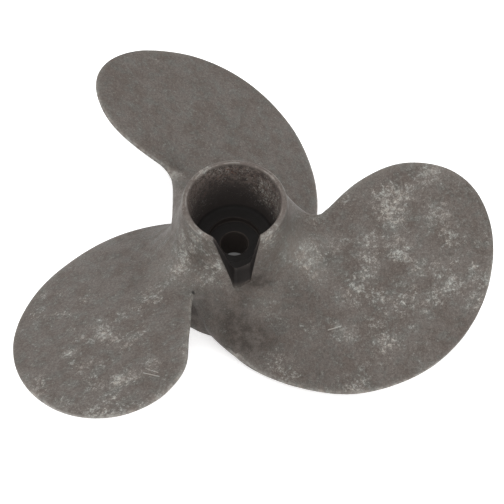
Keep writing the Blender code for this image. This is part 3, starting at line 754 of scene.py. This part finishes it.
def inner_maps(add, place):
    """Return maps of the hub's hollow: 1 in the cup and slot, and what the layers need of it.

    These are the depth from the mouth, 1 on the slot's cheeks, the distance in from the
    flank, and Y.
    """
    across, along, height = [add("SeparateXYZ", [place], axis) for axis in range(3)]
    radius = add("Math", [along, along], **TIMES)
    radius = add("Math", [across, across, radius], **TIMES_PLUS)
    radius = add("Math", [radius], operation="SQRT")
    depth = add("Math", [CAD_BOX[1][2], height], operation="SUBTRACT")
    down = add("Math", [depth, FLANK_CURVE_END], operation="MINIMUM")
    flank = add("Math", [down, FLANK_CURVE[0], FLANK_CURVE[1]], **TIMES_PLUS)
    flank = add("Math", [down, flank, FLANK_CURVE[2]], **TIMES_PLUS)
    wall = add("Math", [flank, radius], operation="SUBTRACT")
    inside = add("MapRange", [wall, 0.3 * MM, 1.0 * MM], **EASE)
    below = add("MapRange", [depth, 0.5 * MM, 1.6 * MM], **EASE)
    foot = add("MapRange", [along, -29 * MM, -25.5 * MM, 0.85, 0.0], **EASE)
    part = add("MapRange", [depth, 18 * MM, 23 * MM], **EASE)
    foot = add("Math", [foot, part], **TIMES)
    below = add("Math", [below, foot], operation="SUBTRACT")
    inner = add("Math", [inside, below], **TIMES)
    cheek = add("MapRange", [along, -21 * MM, -17 * MM, 1.0, 0.0], **EASE)
    return {"inner": inner, "depth": depth, "cheek": cheek, "wall": wall, "along": along}


def skin_colour(add, maps, colours):
    """Return the colour of the faded and stained skin, darkened with painted shade in its hollows, and put
    both into the maps.
    """
    faded = add("MapRange", [maps["faded"], 0.38, 0.64], **EASE)
    colour = add("Mix", {0: faded, 6: linear(colours.skin), 7: linear(colours.shade)}, **TINT)
    cool = add("MapRange", [maps["bluish"], 0.45, 0.64, 0.0, 0.65], **EASE)
    colour = add("Mix", {0: cool, 6: colour, 7: linear(colours.steel)}, **TINT)
    # Stains of grime, and painted shade where the blades' roots meet the hub, in one dark brown.
    part = add("MapRange", [maps["grime_and_shade"], 0.35, 0.62, 0.3, 1.15], **EASE)
    stain = add("Math", [maps["stains"], part], **TIMES)
    colour = add("Mix", {0: stain, 6: colour, 7: linear(colours.grime_and_shade)}, **TINT)
    part = add("MapRange", [maps["grain"], 0.34, 0.66], **EASE)
    maps.update(faded=faded, stains=stain)
    return add("Mix", {0: part, 6: colour, 7: linear(colours.grain)}, **TINT, blend_type="MULTIPLY")


def add_oxide(add, maps):
    """Add the maps of the oxide: its clouds, their clumps, pale specks and haze."""
    # Thin oxide drifts between the clouds, least on the blade behind the hub.
    drift = add("MapRange", [maps["drift"], 0.5, 0.72, 0.0, 0.32], **EASE)
    part = add("MapRange", [maps["along"], 10 * MM, 35 * MM, 1.0, 0.2], **EASE)
    drift = add("Math", [drift, part], **TIMES)
    part = add("MapRange", [maps["inner"], 0.0, 0.5, 1.0, 0.0], **EASE)
    drift = add("Math", [drift, part], **TIMES)
    clouds = add("Math", [maps["clouds"], drift], operation="ADD")
    clouds = add("Math", [maps["cup_clouds"], maps["inner"], clouds], **TIMES_PLUS)
    part = add("MapRange", [maps["lumps"], 0.3, 0.7, 0.35, 1.3], **EASE)
    patchy = add("Math", [clouds, part], **TIMES)
    part = add("MapRange", [maps["edge_gap"], 1.0, 5.0, 1.1, 1.0], **EASE)
    patchy = add("Math", [patchy, part], **TIMES)
    patchy = add("Math", [patchy, 1.15], operation="MINIMUM")
    pale = add("Math", [patchy, 0.1, maps["speck"]], **TIMES_PLUS)
    pale = add("MapRange", [pale, 0.54, 0.72], **EASE)
    fine = add("Math", [patchy, 0.04, maps["dust"]], **TIMES_PLUS)
    fine = add("MapRange", [fine, 0.56, 0.7, 0.0, 0.35], **EASE)
    pale = add("Math", [pale, fine], operation="MAXIMUM")
    part = add("MapRange", [maps["stains"], 0.0, 1.0, 1.0, 0.4], **EASE)
    pale = add("Math", [pale, part], **TIMES)
    haze = add("MapRange", [patchy, 0.0, 2.2, 0.0, 0.15], **EASE)
    haze = add("Math", [maps["bloom"], 0.25, haze], **TIMES_PLUS)
    part = add("MapRange", [maps["edge_gap"], 0.5, 4.0, 0.07, 0.0], **EASE)
    haze = add("Math", [haze, part], operation="ADD")
    maps.update(clouds=clouds, patchy=patchy, pale=pale, haze=haze)


def worn_places(add, maps):
    """Return how bare the metal is on the blades' edges and on the rim."""
    part = add("MapRange", [maps["edge_gap"], 0.2, 1.8, 1.0, 0.0], **EASE)
    worn = add("MapRange", [maps["rubbed"], 0.36, 0.62, 0.1, 0.42], **EASE)
    worn = add("Math", [part, worn], **TIMES)
    streaks = add("MapRange", [maps["streaks"], 0.46, 0.62, 0.0, 0.38], **EASE)
    part = add("MapRange", [maps["clouds"], 0.0, 0.8, 0.25, 1.0], **EASE)
    streaks = add("Math", [streaks, part], **TIMES)
    # The rings are 0.2 mm wide, and drawn 0.8 mm wide so that they show.
    rings = 0.0
    for inset in RIM_RINGS:
        gap = add("Math", [maps["wall"], inset * MM], operation="SUBTRACT")
        gap = add("Math", [gap], operation="ABSOLUTE")
        part = add("MapRange", [gap, 0.1 * MM, 0.4 * MM, 0.28, 0.0], **EASE)
        rings = add("Math", [rings, part], operation="MAXIMUM")
    part = add("MapRange", [maps["rings"], 0.42, 0.6], **EASE)
    rings = add("Math", [rings, part], **TIMES)
    for marks in (streaks, rings):
        part = add("Math", [maps["rim"], marks], **TIMES)
        worn = add("Math", [worn, part], operation="MAXIMUM")
    return worn


def cup_colour(add, maps, colours, oxide):
    """Return the colour of the cup: worn at its mouth, rusty below, black with grease and painted shade at
    its floor.
    """
    depth, cheek, wall = maps["depth"], maps["cheek"], maps["wall"]
    grease_and_shade = linear(colours.grease_and_shade)
    # The cup is painted darker with depth, from its worn mouth to its floor: grease and dirt, and partly
    # painted shade deep in the cup. The border is ragged.
    deep = add("Math", [maps["clouds"], -12 * MM, depth], **TIMES_PLUS)
    part = add("Math", [maps["lumps"], maps["speck"]], operation="ADD")
    deep = add("Math", [part, 16 * MM, deep], **TIMES_PLUS)
    deep = add("Math", [cheek, 16 * MM, deep], **TIMES_PLUS)
    deep = add("MapRange", [deep, 11 * MM, 35 * MM], **EASE)
    part = add("MapRange", [maps["smears"], 0.4, 0.58], **EASE)
    cup = add("Mix", {0: part, 6: linear(colours.lip), 7: linear(colours.smear)}, **TINT)
    cup = add("Mix", {0: deep, 6: cup, 7: linear(colours.cup)}, **TINT)
    # Painted shade and old grease: the cup's floor is painted near-black.
    part = add("MapRange", [depth, 27 * MM, 29 * MM], **EASE)
    cup = add("Mix", {0: part, 6: cup, 7: grease_and_shade}, **TINT)
    # The slot's cheeks are painted nearly as dark as the cup's floor.
    part = add("Math", [cheek, 0.8], **TIMES)
    cup = add("Mix", {0: part, 6: cup, 7: grease_and_shade}, **TINT)
    # Painted light: the counterbore's side and the shaft hole are painted lighter than the dark floors, to
    # lift the shade that falls in them.
    well = add("MapRange", [depth, 33 * MM, 33.3 * MM, 0.2, 0.0], **EASE)
    part = add("MapRange", [wall, 24.2 * MM, 24.5 * MM, 0.0, 0.4], **EASE)
    well = add("Math", [well, part], operation="MAXIMUM")
    part = add("MapRange", [depth, 29.7 * MM, 30 * MM], **EASE)
    well = add("Math", [well, part], **TIMES)
    cup = add("Mix", {0: well, 6: cup, 7: linear(colours.lip)}, **TINT)
    red = add("MapRange", [maps["flecks"], 0.54, 0.66, 0.0, 0.9], **EASE)
    part = add("Math", [maps["rust"], 0.9, 0.15], **TIMES_PLUS)
    red = add("Math", [red, part], **TIMES)
    part = add("MapRange", [deep, 0.3, 1.0, 1.0, 0.1], **EASE)
    red = add("Math", [red, part], **TIMES)
    part = add("MapRange", [depth, 24 * MM, 28 * MM, 1.0, 0.0], **EASE)
    red = add("Math", [red, part], **TIMES)
    cup = add("Mix", {0: red, 6: cup, 7: linear(colours.rust)}, **TINT)
    crisp = add("Math", [maps["patchy"], 0.1, maps["fresh"]], **TIMES_PLUS)
    crisp = add("MapRange", [crisp, 0.6, 0.72], **EASE)
    fresh = add("MapRange", [depth, 20 * MM, 28 * MM, 0.8, 0.0], **EASE)
    fresh = add("Math", [crisp, fresh], **TIMES)
    fresh = add("Math", [fresh, add("Math", [1.0, cheek], operation="SUBTRACT")], **TIMES)
    return add("Mix", {0: fresh, 6: cup, 7: oxide}, **TINT)


def cast_aluminium(scene):
    """Oxidised sand-cast aluminium.

    The bare metal has gone dull and dark in salt water: a matt grey-brown skin,
    mottled with bluish and brownish patches, with clouds of pale oxide speckles,
    edges worn lighter, painted shade in the hollows by the blades' roots, and a cup
    that is nearly black with grease, rust and painted shade.
    """
    colours = scene.propeller_colours
    material = bpy.data.materials.new("oxidised_cast_aluminium")
    material.use_nodes = True
    tree = material.node_tree
    add = functools.partial(add_node, tree)
    place = add("TexCoord", [], "Object")
    maps = inner_maps(add, place)
    for name in ("edge_gap", *SPOTS):
        maps[name] = add("Attribute", [], "Fac", attribute_name=name)
    for name, (size, detail, rough) in PATTERNS.items():
        grid = {"Vector": place, "Scale": 1 / (size * MM), "Detail": detail, "Roughness": rough}
        maps[name] = add("TexNoise", grid)
    colour = skin_colour(add, maps, colours)
    add_oxide(add, maps)
    maps["rim"] = add("MapRange", [maps["depth"], 0.2 * MM, 1.6 * MM, 1.0, 0.0], **EASE)
    lining = add("MapRange", [maps["wall"], 0.2 * MM, 1.2 * MM, 0.3, 0.95], **EASE)
    lining = add("Math", [maps["rim"], lining], **TIMES)
    colour = add("Mix", {0: lining, 6: colour, 7: linear(colours.rim)}, **TINT)
    bloom = add("MapRange", [maps["patchy"], 0.0, 0.6, 0.25, 0.6], **EASE)
    bloom = add("Math", [maps["pale"], bloom, maps["haze"]], **TIMES_PLUS)
    scratches = add("Math", [near_lines(add, place, SCRATCHES), 0.55], **TIMES)
    bare = add("Math", [worn_places(add, maps), scratches], operation="MAXIMUM")
    warm = add("MapRange", [maps["warm"], 0.42, 0.6], **EASE)
    oxide = add("Mix", {0: warm, 6: linear(colours.oxide), 7: linear(colours.tan)}, **TINT)
    part = add("Math", [bloom, bare], operation="MAXIMUM")
    colour = add("Mix", {0: part, 6: colour, 7: oxide}, **TINT)
    part = add("Math", [near_lines(add, place, PITS), 0.9], **TIMES)
    colour = add("Mix", {0: part, 6: colour, 7: linear(colours.grease_and_shade)}, **TINT)
    cup = cup_colour(add, maps, colours, oxide)
    height = add("Math", [maps["grain"], 0.5], **TIMES)
    part = add("Math", [maps["pale"], 0.2], **TIMES)
    height = add("Math", [height, part], operation="ADD")
    looks = {
        "Base Color": add("Mix", {0: maps["inner"], 6: colour, 7: cup}, **TINT),
        "Roughness": add("MapRange", [maps["faded"], 0.0, 1.0, 0.58, 0.7], **EASE),
        "Normal": add("Bump", {"Height": height, "Strength": 0.4, "Distance": 0.25 * MM}),
        "Metallic": add("MapRange", [maps["inner"], 0.2, 1.0, 0.3, 0.0], **EASE),
        "Specular IOR Level": add("MapRange", [maps["inner"], 0.2, 1.0, 0.5, 0.15], **EASE),
    }
    shader = tree.nodes["Principled BSDF"]
    for name, value in looks.items():
        tree.links.new(value, shader.inputs[name])
    return material


def cast_shape(scene):
    """Return the one-piece casting: hub and blades joined, cup and slot cut out."""
    casting = as_object("propeller_casting", turned_shape(hub_profile(scene), HUB_AROUND), scene)
    blades = []
    for blade in range(len(BLADES)):
        shape = blade_shape(BladePlan(scene, blade))
        blades.append(as_object(f"blade_{blade + 1}", shape, scene))
    combined(casting, blades, "UNION")
    block = bmesh.new()
    bmesh.ops.create_cube(block, size=BLOCK_SIZE)
    bmesh.ops.translate(block, vec=(0, 0, -0.5 * BLOCK_SIZE), verts=block.verts)
    cutters = [
        as_object("below", block, scene),
        as_object("cup", turned_shape(cup_profile(scene), CUP_AROUND), scene),
        as_object("slot", slot_shape(scene), scene),
    ]
    combined(casting, cutters, "DIFFERENCE")
    return casting


class PROPELLER_OT_casting(bpy.types.Operator):
    """Build the one-piece casting: hub, cup, slot and three blades"""

    bl_idname = "propeller.casting"
    bl_label = "Casting"

    def execute(self, context):
        """Join hub and blades, cut the cup and the slot, and give it its finish."""
        scene = context.scene
        casting = cast_shape(scene)
        weathered(casting, scene.propeller_blades.unevenness)
        surface_marks(casting, scene)
        casting.data.materials.clear()
        casting.data.materials.append(cast_aluminium(scene))
        casting.data.shade_smooth()
        casting.data.set_sharp_from_angle(angle=math.radians(SHARP_ANGLE))
        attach(casting, "root")
        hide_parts("propeller")
        return {"FINISHED"}


def add_floor(scene):
    """Add the pale floor, just below the casting."""
    shape = bmesh.new()
    bmesh.ops.create_grid(shape, x_segments=1, y_segments=1, size=FLOOR_HALF)
    bmesh.ops.translate(shape, vec=(0, 0, -FLOOR_GAP), verts=shape.verts)
    floor = as_object("studio_floor", shape, scene)
    paint = bpy.data.materials.new("matt_floor")
    paint.use_nodes = True
    tree = paint.node_tree
    shader = tree.nodes["Principled BSDF"]
    add = functools.partial(add_node, tree)
    # Seen through the shaft hole, the floor under the hub is painted darker: a painted shadow of the hub.
    near, far, dim = HUB_SHADE
    reach = add("VectorMath", [add("TexCoord", [], "Object")], 1, operation="LENGTH")
    shade = add("MapRange", [reach, near, far, dim, 1.0], **EASE)
    pale = (*scene.propeller_studio.floor_colour, 1.0)
    tree.links.new(add("Mix", {0: shade, 6: BLACK, 7: pale}, **TINT), shader.inputs["Base Color"])
    glow = add("Math", [shade, FLOOR_GLOW], **TIMES)
    tree.links.new(glow, shader.inputs["Emission Strength"])
    shader.inputs["Emission Color"].default_value = WHITE
    shader.inputs["Roughness"].default_value = FLOOR_ROUGHNESS
    floor.data.materials.append(paint)


def add_light(scene):
    """Add a square area light that looks at the casting."""
    light = bpy.data.lights.new("key", "AREA")
    light.size = LIGHT_SIZE
    light.energy = LIGHT_POWER
    thing = bpy.data.objects.new("key", light)
    thing.location = LIGHT_PLACE
    thing.rotation_euler = (-Vector(LIGHT_PLACE)).to_track_quat("-Z", "Y").to_euler()
    scene.collection.objects.link(thing)


def add_camera(scene):
    """Add the camera, where the photograph was taken from."""
    camera = bpy.data.cameras.new("camera")
    camera.lens = scene.propeller_studio.lens
    camera.sensor_width = SENSOR_WIDTH
    thing = bpy.data.objects.new("camera", camera)
    thing.location = CAMERA_PLACE
    thing.rotation_euler = [math.radians(angle) for angle in CAMERA_ANGLES]
    scene.collection.objects.link(thing)
    scene.camera = thing


class PROPELLER_OT_studio(bpy.types.Operator):
    """Build the pale floor, the soft lights and the camera"""

    bl_idname = "propeller.studio"
    bl_label = "Studio"

    def execute(self, context):
        """Place the floor under the casting, the lights over it and the camera."""
        scene = context.scene
        add_floor(scene)
        world = bpy.data.worlds.new("studio")
        world.use_nodes = True
        background = world.node_tree.nodes["Background"]
        background.inputs["Color"].default_value = WHITE
        background.inputs["Strength"].default_value = SKY_STRENGTH
        scene.world = world
        add_light(scene)
        add_camera(scene)
        scene.view_settings.view_transform = "Standard"
        return {"FINISHED"}


class PROPELLER_PT_panel(bpy.types.Panel):
    """Operators and settings of the propeller"""

    bl_label = "Boat Propeller"
    bl_idname = "PROPELLER_PT_panel"
    bl_space_type = "VIEW_3D"
    bl_region_type = "UI"
    bl_category = "Propeller"

    def draw(self, context):
        """List the operators and the settings."""
        for operator in OPERATORS:
            self.layout.operator(operator.bl_idname)
        for name in SETTINGS:
            group = getattr(context.scene, name)
            box = self.layout.box()
            for field in group.__annotations__:
                box.prop(group, field)


SETTINGS = {
    "propeller_hub": HubSizes,
    "propeller_blades": BladeSizes,
    "propeller_colours": CastingColours,
    "propeller_studio": StudioSettings,
}
OPERATORS = (PROPELLER_OT_casting, PROPELLER_OT_studio)
CLASSES = (*SETTINGS.values(), *OPERATORS, PROPELLER_PT_panel)


def register():
    """Register the classes and hang their settings on the scene."""
    for kind in CLASSES:
        bpy.utils.register_class(kind)
    for name, kind in SETTINGS.items():
        setattr(bpy.types.Scene, name, PointerProperty(type=kind))


def unregister():
    """Take the settings and the classes away again."""
    for name in SETTINGS:
        delattr(bpy.types.Scene, name)
    for kind in reversed(CLASSES):
        bpy.utils.unregister_class(kind)


def main():
    """Build everything."""
    register()
    bpy.ops.propeller.casting()
    bpy.ops.propeller.studio()


if __name__ == "__main__":
    main()
